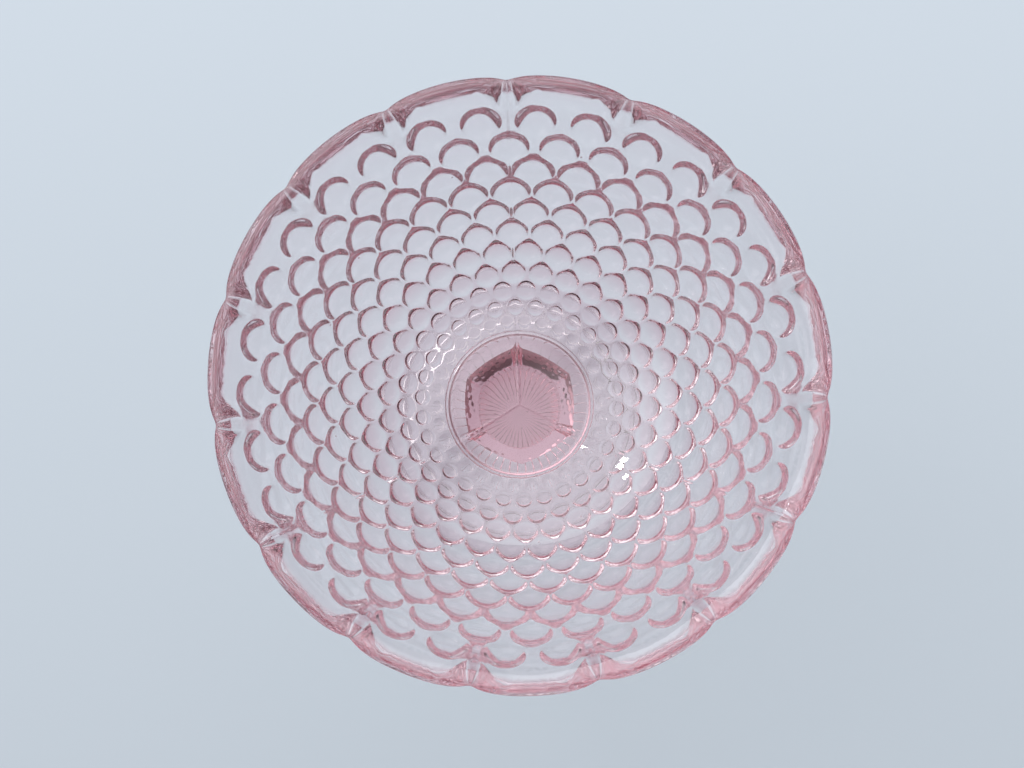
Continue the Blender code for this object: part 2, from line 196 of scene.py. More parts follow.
# Finish of the glass: each piece's slow ripples, as a stretch along x, y and z and a scale
BOWL_RIPPLES = ((1.0, 1.0, 0.6), 110.0)
WAFER_RIPPLES = ((1.0, 1.0, 2.5), 160.0)
STEM_RIPPLES = ((1.0, 1.0, 0.35), 190.0)
FOOT_RIPPLES = ((1.0, 1.0, 1.0), 140.0)
RIPPLE_HEIGHT = 0.00003
RIPPLE_DETAIL = 1.0
NOISE_SPREAD = (0.3, 0.7)
HAZE_SCALE = 240.0
HAZE_DETAIL = 3.0
HAZE_ROUGHNESS = 0.012
CORD_SCALE = 45.0
CORD_DETAIL = 2.0
CORD_TINT = (1.0, 0.965, 0.975, 1.0)
CLEAR = (1.0, 1.0, 1.0, 1.0)
SEAM_LINE_HEIGHT = 4.0
SEAM_LINE_WIDTH = 0.0006
SCUFF_SCALE = 900.0
SCUFF_DETAIL = 4.0
SCUFF_HEIGHT = 0.0005
SCUFF_ROUGHNESS = (0.2, 0.4)

# Pale ground with painted light and shade: painted brighter towards the back, painted pink light and shadow
# under the bowl, and painted dark outside a wide painted pool of light
GROUND_SIZE = 12.0
GROUND_DROP = 0.0002
GROUND_COLOUR = (0.80, 0.86, 0.92)
GROUND_GLOW = (0.640, 0.725, 0.808)
GROUND_GLOW_SHARE = 0.7
# Painted light and shadow under the dish: a painted brighter middle under the foot, then rings of painted
# pink light and shadow
PAINTED_LIGHT_AND_SHADOW_RINGS = (
    (0.012, (1.15, 1.18, 1.17, 1.0)),
    (0.024, (0.84, 0.74, 0.77, 1.0)),
    (0.038, (0.88, 0.73, 0.76, 1.0)),
    (0.052, (0.94, 0.79, 0.82, 1.0)),
    (0.068, (1.00, 0.98, 0.98, 1.0)),
    (0.080, (1.00, 1.00, 1.00, 1.0)),
)
PAINTED_RINGS_REACH = 0.1
# Painted shade: the glow's colour far out, painted dark
PAINTED_DARK_FAR_GROUND = (0.13, 0.075, 0.095, 1.0)
# Painted light: how much brighter the ground is painted towards the back
PAINTED_LIGHT_SLANT = 0.62
PAINTED_LIGHT_SLANT_REACH = 0.18
# Painted pool of light: its edge, its middle towards the back, and the painted dimming of the matt colour far
# out
PAINTED_POOL_EDGE = (0.225, 0.275)
PAINTED_POOL_BACK = 0.10
PAINTED_FAR_DIMMING = 0.08

# Studio: dim and warm below, with a bright window behind on the left, and a pale backdrop for the camera
BACKDROP_COLOUR = (0.62, 0.69, 0.76, 1.0)
CEILING_SHEEN = 1.0
WINDOW_DIRECTION = (-0.40, 0.62, 0.67)
WINDOW_SPREAD = (0.45, 0.85)
WINDOW_COLOUR = (1.5, 1.5, 1.56, 1.0)
CEILING_EDGE = (0.84, 0.95)
STUDIO_TONES = (
    (0.05, (0.120, 0.065, 0.080, 1.0)),
    (0.32, (0.260, 0.150, 0.185, 1.0)),
    (0.50, (0.120, 0.120, 0.125, 1.0)),
    (0.85, (0.250, 0.250, 0.260, 1.0)),
    (0.97, (0.120, 0.115, 0.120, 1.0)),
)

# Small softboxes to the left behind the dish; they make the glints
SOFTBOXES = ((-0.66, 0.65, 0.75), (-0.72, 0.66, 0.71), (-0.71, 0.71, 0.67), (-0.75, 0.61, 0.71))
SOFTBOX_SIZE = (0.044, 0.020)
SOFTBOX_POWER = 0.15

# How often light may bounce in the glass
LIGHT_BOUNCES = 24
GLOSSY_BOUNCES = 12

# Photograph: where the rim shows, and how the camera stands
PHOTO_WIDTH = 1024
PHOTO_HEIGHT = 768
RIM_CENTRE_PX = (520.5, 378.2)
RIM_RADIUS_PX = 314.3
CAMERA_DISTANCE = 0.475
CAMERA_TILT = math.radians(6.67)
CAMERA_TURN = math.radians(-2.6)
SENSOR_WIDTH = 36.0


def mix(a, b, share):
    return a + (b - a) * share


def ease(value):
    value = np.clip(value, 0.0, 1.0)
    return value * value * (3 - 2 * value)


def bezier(start, start_pull, end_pull, end, t):
    """Points of a cubic curve; t may be an array with a last axis of one."""
    curve = (1 - t) ** 3 * start + 3 * (1 - t) ** 2 * t * start_pull
    return curve + 3 * (1 - t) * t ** 2 * end_pull + t ** 3 * end


def pressed_dome(reach, flatness, fillet):
    """Section of a pressed relief: flat in the middle, steepest at reach 1, with a fillet at its foot."""
    dome = (1 - np.minimum(reach, 1.0) ** flatness) / flatness + fillet / 2
    skirt = np.maximum(1 + fillet - reach, 0.0) ** 2 / (2 * fillet)
    return np.where(reach < 1, dome, skirt)


class WallCurve:
    """The bowl's outer wall in section, read by the length along it from the collar."""

    def __init__(self):
        self.lean = np.array((math.cos(RIM_SLOPE), math.sin(RIM_SLOPE)))
        t = np.linspace(0.0, 1.0, 2001)[:, None]
        normal = np.array((self.lean[1], -self.lean[0]))
        turn = math.atan(2 * PETAL_ROLL / ((1 - PETAL_CREST) * PETAL_FOOT_BELOW_RIM))
        outer = (PETAL_SWELL - PETAL_ROLL) * normal
        inner = -RIM_WALL * normal
        inner = inner + (outer - inner)[1] / self.lean[1] * self.lean
        steep = np.array((math.cos(RIM_SLOPE + turn), math.sin(RIM_SLOPE + turn)))
        pull = RIM_CROWN * np.linalg.norm(outer - inner)
        crown = bezier(outer, outer + pull * steep, inner + pull * self.lean, inner, t)
        end = np.array((RIM_RADIUS, HEIGHT)) - crown.max(axis=0)
        start = np.array((COLLAR_RADIUS, COLLAR_TOP))
        start_pull = start + COLLAR_PULL * np.array((math.cos(COLLAR_SLOPE), math.sin(COLLAR_SLOPE)))
        self.points = bezier(start, start_pull, end - RIM_PULL * self.lean, end, t)
        steps = np.diff(self.points, axis=0)
        self.lengths = np.concatenate(([0.0], np.cumsum(np.hypot(steps[:, 0], steps[:, 1]))))
        self.length = self.lengths[-1]
        slope = np.gradient(self.points, axis=0)
        slope /= np.linalg.norm(slope, axis=1)[:, None]
        self.outward = np.stack((slope[:, 1], -slope[:, 0]), axis=1)
        self.inner_heights = self.section(self.lengths, -self.thickness(self.lengths))[1]

    def read(self, table, distance):
        return np.interp(distance, self.lengths, table)

    def radius(self, distance):
        return self.read(self.points[:, 0], distance)

    def section(self, distance, out):
        radius = self.radius(distance) + out * self.read(self.outward[:, 0], distance)
        height = self.read(self.points[:, 1], distance) + out * self.read(self.outward[:, 1], distance)
        return radius, height

    def surface(self, angle, distance, out):
        radius, height = self.section(distance, out)
        return np.stack((radius * np.cos(angle), radius * np.sin(angle), height + 0 * angle), axis=-1)

    def thickness(self, distance):
        return mix(BASE_WALL, RIM_WALL, distance / self.length)

    def inner_distance(self, height):
        return np.interp(height, self.inner_heights, self.lengths)


WALL = WallCurve()


def row_distances():
    """Distances along the wall of the bump rows, from the lowest row up."""
    lowest = LAST_ROW_ABOVE_COLLAR
    highest = WALL.length - TOP_ROW_BELOW_RIM
    gaps = np.linspace(1.0, ROW_TAPER, BUMP_ROWS - 1)
    unit = (highest - lowest) / gaps.sum()
    return np.concatenate(([lowest], lowest + np.cumsum(gaps * unit)))


ROWS = row_distances()
BUMP_STEP = 2 * math.pi / BUMPS_PER_ROW
ROW_OFFSETS = [(BUMP_ROWS - row) % 2 for row in range(BUMP_ROWS)]
BUMP_RADII = np.array(BUMP_SHARES) * BUMP_STEP * WALL.radius(ROWS)


def web_swell(distance):
    """The wall between the bumps thickens above the collar, and steps back to the thin upper wall."""
    low = ROWS[WEB_FULL_ROW]
    high = ROWS[WEB_STEP_ROW]
    top = mix(ROWS[WEB_STEP_ROW + 1], ROWS[WEB_STEP_ROW + 2], WEB_STEP_SHARE)
    rising = mix(WEB_LOW_SHARE, 1.0, ease(distance / low))
    return WEB_SWELL * np.minimum(rising, ease((top - distance) / (top - high)))


def bump_relief(angle, distance):
    """How far the bumps and the web between them stand out; a bump's top lies level with its row's web."""
    height = np.zeros(np.broadcast(angle, distance).shape)
    level = height + distance
    for row in range(BUMP_ROWS):
        size = BUMP_RADII[row]
        first = SEAM_ANGLE + ROW_OFFSETS[row] * BUMP_STEP / 2
        turn = (angle - first) / BUMP_STEP
        across = (turn - np.round(turn)) * BUMP_STEP * WALL.radius(distance)
        reach = np.hypot(across, distance - ROWS[row]) / size
        rise = BUMP_STEEPNESS[row] * size * pressed_dome(reach, BUMP_FLATNESS[row], BUMP_FILLET)
        height = np.maximum(height, rise)
        level += ease((1 + BUMP_FILLET - reach) / BUMP_TOP_BLEND) * (ROWS[row] - distance)
    return height + web_swell(level)


def across_petal(angle):
    """Place across a petal: 0 at its crest, 1 at the notch on either side."""
    turn = (angle - SEAM_ANGLE) * PETALS / (2 * math.pi)
    return np.abs(2 * (turn - np.floor(turn)) - 1)


def petal_columns(crowding):
    """Angles of the fine columns, drawn towards the notches as crowding goes from 0 to 1."""
    turn = np.arange(FINE_COLUMNS) * PETALS / FINE_COLUMNS
    place = 2 * (turn - np.floor(turn)) - 1
    share = np.abs(place)
    crowded = share + PETAL_CROWDING * crowding * share * (1 - share)
    turn = np.floor(turn) + (np.sign(place) * crowded + 1) / 2
    return SEAM_ANGLE + turn * 2 * math.pi / PETALS


def rim_edge(angle):
    """Distance along the wall to the rim: the lobes stand higher than the notches."""
    place = across_petal(angle)
    soft = (1 - np.cos(math.pi * place)) / 2
    return WALL.length - LOBE_RISE * mix(place ** 2, soft, LOBE_SOFTNESS)


def petal_relief(angle, distance):
    """Pillowed petals that roll in towards the rim, and the valleys cut between them."""
    climb = (distance - WALL.length) / PETAL_FOOT_BELOW_RIM + 1
    past = np.maximum(climb - PETAL_CREST, 0.0) / (1 - PETAL_CREST)
    pillow = PETAL_SWELL * ease(climb / PETAL_CREST) - PETAL_ROLL * past ** 2
    valley = -VALLEY_DEPTH * ease(1 - (WALL.length - distance) / VALLEY_LENGTH)
    reach = across_petal(angle) / mix(PETAL_REACH_LOW, PETAL_REACH_RIM, ease(climb))
    full = pressed_dome(0.0, PETAL_FLATNESS, PETAL_FILLET)
    return mix(valley, pillow, pressed_dome(reach, PETAL_FLATNESS, PETAL_FILLET) / full)


def outer_point(angle, distance):
    return WALL.surface(angle, distance, bump_relief(angle, distance) + petal_relief(angle, distance))


class MeshPile:
    """Vertices and faces gathered strip by strip."""

    def __init__(self):
        self.blocks = []
        self.faces = []
        self.count = 0

    def add(self, points):
        points = np.asarray(points, dtype=float)
        index = np.arange(self.count, self.count + points.size // 3).reshape(points.shape[:-1])
        self.blocks.append(points.reshape(-1, 3))
        self.count += points.size // 3
        return index

    def quads(self, first, second):
        """Faces between two closed rings of vertices, or rows of such rings."""
        first_next = np.roll(first, -1, axis=-1)
        second_next = np.roll(second, -1, axis=-1)
        grid = np.stack((first, first_next, second_next, second), axis=-1).reshape(-1, 4)
        self.faces.extend(grid.tolist())

    def widen(self, coarse, fine, finer_is_second):
        """Faces between a ring and one with twice as many vertices."""
        near = fine[0::2]
        middle = fine[1::2]
        far = np.roll(near, -1)
        after = np.roll(coarse, -1)
        for corners in ((coarse, middle, near), (coarse, after, middle), (after, far, middle)):
            face = np.stack(corners, axis=-1)
            self.faces.extend((face if finer_is_second else face[:, ::-1]).tolist())

    def chain(self, rings):
        for first, second in zip(rings, rings[1:]):
            if len(first) == len(second):
                self.quads(first, second)
            elif len(first) < len(second):
                self.widen(first, second, True)
            else:
                self.widen(second, first, False)

    def fan(self, middle, ring):
        """Triangles from a point to a closed ring, or from points to rows of rings."""
        after = np.roll(ring, -1, axis=-1)
        middle = np.broadcast_to(np.asarray(middle)[..., None], ring.shape)
        self.faces.extend(np.stack((middle, ring, after), axis=-1).reshape(-1, 3).tolist())

    def close(self, rings, low, high):
        """A closed body from rings stacked upwards, with a point on the axis at either end."""
        rings = [self.add(ring) for ring in rings]
        self.fan(self.add((0.0, 0.0, low)), rings[0][::-1])
        self.chain(rings)
        self.fan(self.add((0.0, 0.0, high)), rings[-1])

    def seed(self, centre):
        """A small round gas bubble: a hollow, so its faces look inwards."""
        rings = []
        for step in range(1, SEED_RINGS):
            turn = math.pi * step / SEED_RINGS
            ring = ring_points(SEED_RADIUS * math.sin(turn), SEED_RADIUS * math.cos(turn), SEED_SIDES)
            rings.append(self.add(ring + centre))
        self.fan(self.add(centre + np.array((0.0, 0.0, SEED_RADIUS))), rings[0][::-1])
        self.chain(rings)
        self.fan(self.add(centre - np.array((0.0, 0.0, SEED_RADIUS))), rings[-1])

    def make(self, name, crease=None):
        mesh = bpy.data.meshes.new(name)
        mesh.from_pydata(np.concatenate(self.blocks).tolist(), [], self.faces)
        mesh.validate()
        mesh.shade_smooth()
        if crease is not None:
            mesh.set_sharp_from_angle(angle=crease)
        piece = bpy.data.objects.new(name, mesh)
        bpy.context.scene.collection.objects.link(piece)
        return piece


def ring_points(radius, height, count):
    angle = SEAM_ANGLE + np.arange(count) * 2 * math.pi / count
    level = np.full(count, float(height))
    return np.stack((radius * np.cos(angle), radius * np.sin(angle), level), axis=-1)


def crease_tables():
    """Angle and distance of every vertex on the zigzag creases between the rows."""
    below = ROWS[0] - LAST_ROW_ABOVE_COLLAR
    above = ROWS[-1] + TOP_ROW_BELOW_RIM * TOP_CREASE_SHARE
    edges = np.concatenate(([below], ROWS, [above]))
    corner = np.arange(2 * BUMPS_PER_ROW)
    column = np.arange(COLUMNS)
    angles = SEAM_ANGLE + column * 2 * math.pi / COLUMNS
    distances = []
    for index in range(BUMP_ROWS + 1):
        over_bump = corner % 2 == (BUMP_ROWS - index + 1) % 2
        heights = mix(edges[index], edges[index + 1], np.where(over_bump, 2 / 3, 1 / 3))
        closed = np.append(heights, heights[0])
        distances.append(np.interp(column / EDGE_PIECES, np.arange(len(closed)), closed))
    return angles, distances


def press_bumps(pile):
    """All bump cells: a middle, rings out to the foot of the dome, and the honeycomb crease."""
    angles, distances = crease_tables()
    zigzags = [pile.add(outer_point(angles, distance)) for distance in distances]
    before = np.roll(np.arange(BUMPS_PER_ROW), 1)
    skirt = 1 + BUMP_FILLET
    for row in range(BUMP_ROWS):
        low_d, high_d = distances[row], distances[row + 1]
        centre = (2 * np.arange(BUMPS_PER_ROW) + ROW_OFFSETS[row]) * EDGE_PIECES
        side = (centre + EDGE_PIECES) % COLUMNS
        share = np.arange(1, EDGE_PIECES) / EDGE_PIECES
        side_d = mix(low_d[side][:, None], high_d[side][:, None], share)
        side_a = angles[side][:, None] + 0 * side_d
        sides = pile.add(outer_point(side_a, side_d))

        lower_right = (centre[:, None] + np.arange(EDGE_PIECES + 1)) % COLUMNS
        upper = (centre[:, None] + EDGE_PIECES - np.arange(2 * EDGE_PIECES + 1)) % COLUMNS
        lower_left = (centre[:, None] - EDGE_PIECES + np.arange(EDGE_PIECES)) % COLUMNS

        def round_cell(low, right_side, high):
            left_side = right_side[before][:, ::-1]
            parts = (low[lower_right], right_side, high[upper], left_side, low[lower_left])
            return np.concatenate(parts, axis=1)

        loop = round_cell(zigzags[row], sides, zigzags[row + 1])
        loop_a = round_cell(angles, side_a, angles)
        loop_d = round_cell(low_d, side_d, high_d)

        middle_a = SEAM_ANGLE + centre * 2 * math.pi / COLUMNS
        turn = (loop_a - middle_a[:, None] + math.pi) % (2 * math.pi) - math.pi
        across = turn * WALL.radius(loop_d)
        along = loop_d - ROWS[row]
        reach = np.hypot(across, along)
        size = np.minimum(BUMP_RADII[row], BUMP_CELL_SHARE * reach / skirt)
        shares = FINE_RINGS if row >= FINE_ROWS_FROM else COARSE_RINGS
        rings = []
        for ring_share in shares + ((1 + skirt) / 2, skirt):
            scale = size * ring_share / reach
            ring_d = ROWS[row] + along * scale
            ring_a = middle_a[:, None] + across * scale / WALL.radius(ring_d)
            rings.append(pile.add(outer_point(ring_a, ring_d)))
        middle = pile.add(outer_point(middle_a, np.full(BUMPS_PER_ROW, ROWS[row])))
        pile.fan(middle, rings[0])
        rings.append(loop)
        for inner, outer in zip(rings, rings[1:]):
            pile.quads(outer, inner)
    return angles, distances, zigzags


def rim_ring(angle, share):
    """One ring of the rounded rim, whose crown runs from the outer wall over to the inner one."""
    edge = rim_edge(angle)
    below = edge - RIM_TANGENT
    outer = np.stack(WALL.section(edge, petal_relief(angle, edge)), axis=-1)
    steep = outer - np.stack(WALL.section(below, petal_relief(angle, below)), axis=-1)
    steep /= np.linalg.norm(steep, axis=1)[:, None]
    far = WALL.inner_distance(outer[:, 1])
    inner = np.stack(WALL.section(far, -WALL.thickness(far)), axis=-1)
    pull = RIM_CROWN * np.linalg.norm(outer - inner, axis=1)[:, None]
    section = bezier(outer, outer + pull * steep, inner + pull * WALL.lean, inner, share)
    return np.stack((section[:, 0] * np.cos(angle), section[:, 0] * np.sin(angle), section[:, 1]), axis=-1)


def floor_height(radius):
    """The bowl's floor, level at the axis and meeting the inner wall at the wall's own slope."""
    start_radius, start_height = WALL.section(0.0, -WALL.thickness(0.0))
    slope = math.tan(COLLAR_SLOPE)
    cubic = (slope * start_radius - 2 * FLOOR_DIP) / start_radius ** 3
    square = FLOOR_DIP / start_radius ** 2 - cubic * start_radius
    return start_height - FLOOR_DIP + square * radius ** 2 + cubic * radius ** 3


def make_bowl():
    """The bowl as one closed skin: collar, bumps, petals, rim, inner wall and floor."""
    pile = MeshPile()
    angles, distances, zigzags = press_bumps(pile)

    flat = COLLAR_RADIUS - COLLAR_INSET
    collar = [ring_points(flat - COLLAR_ROUNDING, BOWL_BOTTOM, COLUMNS)]
    for step in range(1, COLLAR_STEPS + 1):
        turn = math.pi / 2 * step / COLLAR_STEPS
        height = BOWL_BOTTOM + COLLAR_ROUNDING * (1 - math.cos(turn))
        collar.append(ring_points(flat + COLLAR_ROUNDING * math.sin(turn), height, COLUMNS))
    collar.append(outer_point(angles, np.zeros(COLUMNS)))
    collar = [pile.add(ring) for ring in collar]
    pile.fan(pile.add((0.0, 0.0, BOWL_BOTTOM)), collar[0][::-1])
    pile.chain(collar + [zigzags[0]])

    start = np.append(distances[-1], distances[-1][0])
    start = np.interp(np.arange(FINE_COLUMNS) / 2, np.arange(COLUMNS + 1), start)
    rings = [zigzags[-1]]
    for level in range(1, PETAL_LEVELS + 1):
        share = level / PETAL_LEVELS
        angle = petal_columns(ease(share))
        rings.append(pile.add(outer_point(angle, mix(start, rim_edge(angle), share))))
    crowded = petal_columns(1.0)
    for step in range(1, RIM_STEPS + 1):
        rings.append(pile.add(rim_ring(crowded, step / RIM_STEPS)))
    inner_top = WALL.length - RIM_BLEND * RIM_WALL
    edge = rim_edge(crowded)
    below_crown = WALL.inner_distance(WALL.section(edge, petal_relief(crowded, edge))[1])
    for share in CROWN_RINGS:
        distance = mix(below_crown, inner_top, share)
        rings.append(pile.add(WALL.surface(petal_columns(1 - share), distance, -WALL.thickness(distance))))
    for step in range(INNER_STEPS + 1):
        distance = mix(inner_top, 0.0, step / INNER_STEPS)
        radius, height = WALL.section(distance, -WALL.thickness(distance))
        rings.append(pile.add(ring_points(radius, height, INNER_COLUMNS if step else COLUMNS)))
    inner_radius = WALL.section(0.0, -WALL.thickness(0.0))[0]
    for step in range(1, FLOOR_STEPS):
        radius = mix(inner_radius, 0.0, step / FLOOR_STEPS)
        rings.append(pile.add(ring_points(radius, floor_height(radius), INNER_COLUMNS)))
    pile.chain(rings)
    pile.fan(pile.add((0.0, 0.0, floor_height(0.0))), rings[-1])

    for seed in range(BOWL_SEEDS):
        distance = WALL.length * mix(*BOWL_SEED_RANGE, seed * GOLDEN_SHARE % 1)
        middle = -0.5 * WALL.thickness(distance)
        pile.seed(WALL.surface(np.array(seed * GOLDEN_TURN), distance, middle))
    return pile.make("pressed_bowl")


def make_wafer():
    """A disc with rounded edges."""
    flat = WAFER_RADIUS - WAFER_ROUNDING
    rings = [ring_points(CAP_SHARE * WAFER_RADIUS, WAFER_BOTTOM, WAFER_COLUMNS)]
    for low, first in ((WAFER_BOTTOM, -0.5), (WAFER_TOP - 2 * WAFER_ROUNDING, 0.0)):
        for step in range(WAFER_STEPS + 1):
            turn = math.pi * (first + 0.5 * step / WAFER_STEPS)
            height = low + WAFER_ROUNDING * (1 + math.sin(turn))
            rings.append(ring_points(flat + WAFER_ROUNDING * math.cos(turn), height, WAFER_COLUMNS))
    rings.append(ring_points(CAP_SHARE * WAFER_RADIUS, WAFER_TOP, WAFER_COLUMNS))
    pile = MeshPile()
    pile.close(rings, WAFER_BOTTOM, WAFER_TOP)
    return pile.make("joining_wafer")


def panel_share(angle, rounding):
    """Shape of the stem across: six flat panels, part of the way to a circle."""
    side = 2 * math.pi / PANELS
    from_flat = (angle - SEAM_ANGLE) % side - side / 2
    flat = math.cos(side / 2)
    return mix(flat / np.cos(from_flat), (1 + flat) / 2, rounding)


def seam_fin(angle):
    """A fin on each mould seam, 1 on its edge."""
    side = 2 * math.pi / SEAMS
    away = (angle - SEAM_ANGLE + side / 2) % side - side / 2
    return np.exp(-(away / FIN_WIDTH) ** 2)


def stem_radius(angle, height):
    """Radius of the stem: swept at the foot, nearly round at the waist, six-sided under the wafer."""
    sweep = max(0.0, 1 - (height - STEM_BOTTOM) / (STEM_SWEEP_SHARE * (STEM_TOP - STEM_BOTTOM)))
    low = mix(STEM_WAIST_RADIUS, STEM_BASE_RADIUS, sweep ** 2) * panel_share(angle, STEM_WAIST_ROUNDING)
    top = STEM_TOP_RADIUS * panel_share(angle, STEM_TOP_ROUNDING)
    return np.maximum(low, top - (STEM_TOP - height) / math.tan(STEM_FLARE_SLOPE))


def stem_dents(angle, height):
    """Small dents where the hot glass was pinched on to the wafer."""
    near = max(0.0, 1 - (STEM_TOP - height) / STEM_DENTS_HEIGHT)
    rough = 0.0
    for around, along, start in STEM_DENT_WAVES:
        rough = rough + np.sin(around * angle + along * height + start)
    return STEM_DENTS * near * rough


def make_stem():
    """The stem with its chamfered ends, its seam fins and a few gas bubbles inside."""
    angle = SEAM_ANGLE + np.arange(STEM_COLUMNS) * 2 * math.pi / STEM_COLUMNS
    fins = FIN_HEIGHT * seam_fin(angle)

    def ring(radius_share, height, fin_share):
        across = radius_share * stem_radius(angle, height) + fins * fin_share + stem_dents(angle, height)
        level = np.full(STEM_COLUMNS, height)
        return np.stack((across * np.cos(angle), across * np.sin(angle), level), axis=-1)

    rings = [
        ring(CAP_SHARE, STEM_BOTTOM, 0.0),
        ring(1 - STEM_CHAMFER / STEM_BASE_RADIUS, STEM_BOTTOM, FIN_CHAMFER_SHARES[0]),
    ]
    for step in range(STEM_STEPS + 1):
        share = step / STEM_STEPS
        height = mix(STEM_BOTTOM + STEM_CHAMFER, STEM_TOP - STEM_CHAMFER, share)
        rings.append(ring(1.0, height, mix(FIN_FOOT_SHARE, 1.0, ease(share))))
    rings += [
        ring(1 - STEM_CHAMFER / STEM_TOP_RADIUS, STEM_TOP, FIN_CHAMFER_SHARES[1]),
        ring(CAP_SHARE, STEM_TOP, 0.0),
    ]
    pile = MeshPile()
    pile.close(rings, STEM_BOTTOM, STEM_TOP)
    for seed in range(STEM_SEEDS):
        away = STEM_SEED_REACH * STEM_WAIST_RADIUS * math.sqrt((seed + 0.5) / STEM_SEEDS)
        turn = seed * GOLDEN_TURN
        height = mix(STEM_BOTTOM, STEM_TOP, mix(*STEM_SEED_RANGE, seed * GOLDEN_SHARE % 1))
        pile.seed(np.array((away * math.cos(turn), away * math.sin(turn), height)))
    return pile.make("panelled_stem", STEM_CREASE)


def make_foot():
    """The foot from its rayed recess out over the resting ring and the edge, and up to the boss."""
    rest_outer = FOOT_RADIUS - REST_INSET
    rest_inner = rest_outer - REST_WIDTH
    recess_radius = rest_inner - RECESS_SLANT
    ray_end = recess_radius - RAY_MARGIN
    boss_radius = STEM_BASE_RADIUS + FOOT_BOSS_MARGIN
    columns = np.tile(RAY_COLUMNS, RAYS)
    ridge = columns == RAY_PEAK
    turn = np.repeat(np.arange(RAYS), len(RAY_COLUMNS)) + columns
    angle = SEAM_ANGLE + turn * 2 * math.pi / RAYS

    def foot_ring(radius, height):
        level = np.full(len(angle), height)
        return np.stack((radius * np.cos(angle), radius * np.sin(angle), level), axis=-1)

    rings = [foot_ring(STAR_HUB * share, RECESS) for share in (CAP_SHARE, 1.0)]
    for step in range(RAY_STEPS + 1):
        radius = mix(RAY_START, ray_end, step / RAY_STEPS)
        fade = min(1.0, step, (RAY_STEPS - step) * RAY_FADE)
        ring = foot_ring(radius, RECESS)
        ring[:, 2] -= min(RAY_DEPTH, RAY_RISE * radius) * fade * ridge
        rings.append(ring)
    rings.append(foot_ring(recess_radius - RECESS_ROUNDING, RECESS))
    for outward, upward in RECESS_SECTION:
        rings.append(foot_ring(recess_radius + outward * RECESS_SLANT, upward * RECESS))
    rings.append(foot_ring(rest_inner + RECESS_ROUNDING, 0.0))
    rings.append(foot_ring(rest_outer - RECESS_ROUNDING, 0.0))
    for step in range(1, FOOT_EDGE_STEPS):
        turn = math.pi * (step / FOOT_EDGE_STEPS - 0.5)
        radius = FOOT_RADIUS - REST_INSET * (1 - math.cos(turn))
        rings.append(foot_ring(radius, FOOT_EDGE / 2 * (1 + math.sin(turn))))
    for step in range(FOOT_TOP_STEPS + 1):
        share = step / FOOT_TOP_STEPS
        height = mix(FOOT_EDGE, FOOT_HEIGHT, share ** FOOT_SWEEP)
        rings.append(foot_ring(mix(rest_outer, boss_radius, share), height))
    rings.append(foot_ring(CAP_SHARE * boss_radius, FOOT_HEIGHT))
    pile = MeshPile()
    pile.close(rings, RECESS, FOOT_HEIGHT)
    return pile.make("rayed_foot", RAY_CREASE)


def new_node(tree, kind, **settings):
    node = tree.nodes.new("ShaderNode" + kind)
    for name, value in settings.items():
        setattr(node, name, value)
    return node


def feed(tree, socket, value):
    """Links an output to a socket, or sets a plain value on it."""
    if isinstance(value, bpy.types.NodeSocket):
        tree.links.new(value, socket)
    else:
        socket.default_value = value


def maths(tree, operation, first, second=0.0, third=0.0):
    node = new_node(tree, "Math", operation=operation)
    for socket, value in zip(node.inputs, (first, second, third)):
        feed(tree, socket, value)
    return node.outputs[0]


def mix_colours(tree, share, first, second):
    """Mixes two colours; these are the Mix node's own sockets for colours."""
    node = new_node(tree, "Mix", data_type="RGBA")
    feed(tree, node.inputs[0], share)
    feed(tree, node.inputs[6], first)
    feed(tree, node.inputs[7], second)
    return node.outputs[2]


def tones(tree, place, steps):
    """A colour read from steps of place and colour."""
    node = new_node(tree, "ValToRGB")
    feed(tree, node.inputs["Fac"], place)
    elements = node.color_ramp.elements
    elements.remove(elements[1])
    elements[0].position, elements[0].color = steps[0]
    for position, colour in steps[1:]:
        elements.new(position).color = colour
    return node.outputs["Color"]


def fall_off(tree, value, edge, start, end):
    """Goes softly from start to end while a value crosses an edge."""
    node = new_node(tree, "MapRange", interpolation_type="SMOOTHSTEP")
    feed(tree, node.inputs["Value"], value)
    node.inputs["From Min"].default_value, node.inputs["From Max"].default_value = edge
    node.inputs["To Min"].default_value = start
    node.inputs["To Max"].default_value = end
    return node.outputs["Result"]


def noise(tree, place, scale, detail):
    node = new_node(tree, "TexNoise")
    feed(tree, node.inputs["Vector"], place)
    feed(tree, node.inputs["Scale"], scale)
    feed(tree, node.inputs["Detail"], detail)
    return node.outputs["Fac"]


def spread(tree, value, low, high):
    """Stretches the usual range of a noise to run from low to high."""
    node = new_node(tree, "MapRange")
    feed(tree, node.inputs["Value"], value)
    node.inputs["From Min"].default_value, node.inputs["From Max"].default_value = NOISE_SPREAD
    feed(tree, node.inputs["To Min"], low)
    feed(tree, node.inputs["To Max"], high)
    return node.outputs["Result"]


def new_group(name, inputs, outputs):
    group = bpy.data.node_groups.new(name, "ShaderNodeTree")
    for socket, kind, value in inputs:
        made = group.interface.new_socket(name=socket, in_out="INPUT", socket_type="NodeSocket" + kind)
        made.default_value = value
    for socket, kind in outputs:
        group.interface.new_socket(name=socket, in_out="OUTPUT", socket_type="NodeSocket" + kind)
    return group, group.nodes.new("NodeGroupInput"), group.nodes.new("NodeGroupOutput")


